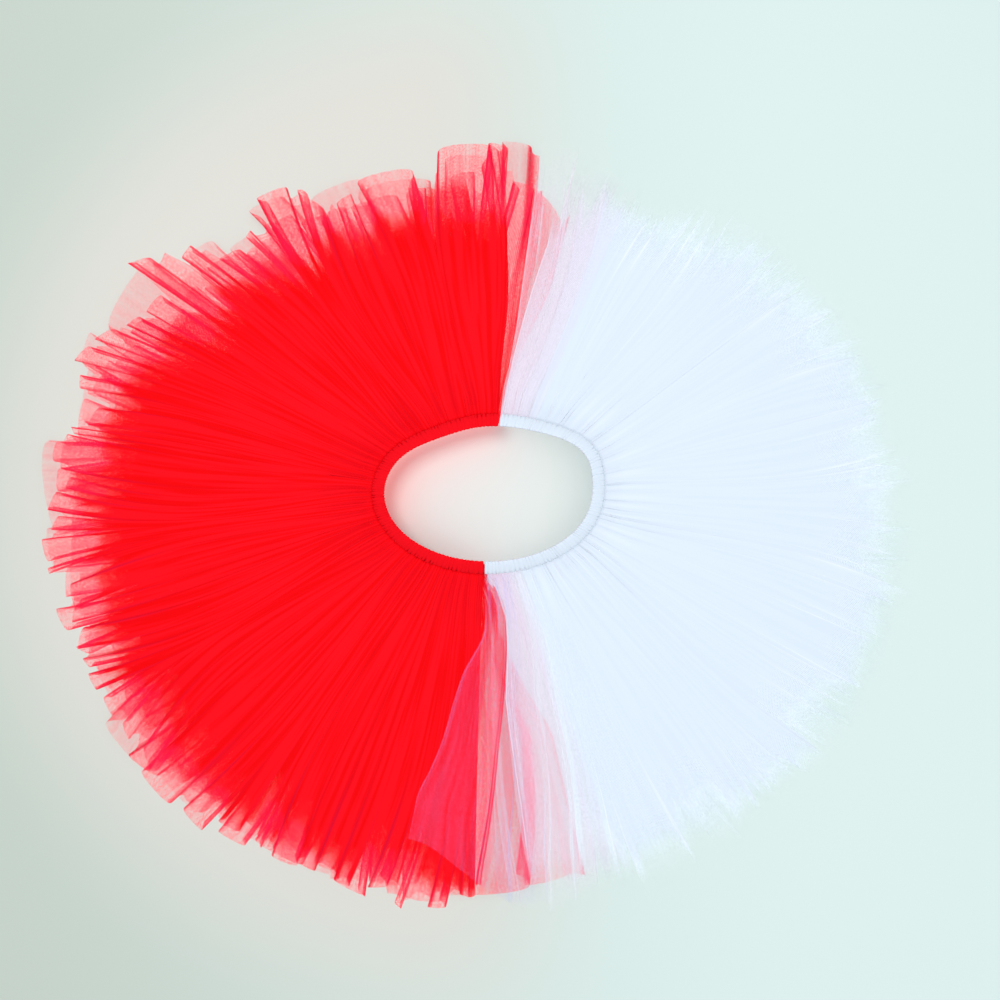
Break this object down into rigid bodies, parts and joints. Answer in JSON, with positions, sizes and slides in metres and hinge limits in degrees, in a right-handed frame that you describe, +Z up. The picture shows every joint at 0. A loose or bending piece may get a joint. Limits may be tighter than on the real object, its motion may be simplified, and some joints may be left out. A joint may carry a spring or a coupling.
{
  "type": "tutu skirt",
  "caption": "Child's gathered tulle skirt, half red and half white, laid flat in a full circle round a ruched elastic waist casing.",
  "frame": {"origin": "centre of the laid-out skirt's outline, on the surface that it lies on", "axes": "+Z up, through the waist opening towards the wearer's waist; +X towards the middle of the white half; +Y towards the back seam"},
  "size_m": [0.7038, 0.6254, 0.0354],
  "materials": {
    "red_tulle": "fine soft nylon net, many sheer plies, saturated red, slight sheen",
    "white_tulle": "fine soft nylon net, many sheer plies, cool white, slight sheen",
    "red_casing": "red cloth casing, finely ruched on its elastic, matt",
    "white_casing": "white cloth casing, finely ruched on its elastic, matt"
  },
  "bodies": {
    "root": {"tulle_red_bottom": "red_tulle", "tulle_red_middle": "red_tulle", "tulle_red_top": "red_tulle", "tulle_white_bottom": "white_tulle", "tulle_white_middle": "white_tulle", "tulle_white_top": "white_tulle", "waistband_red": "red_casing", "waistband_white": "white_casing"}
  },
  "joints": []
}
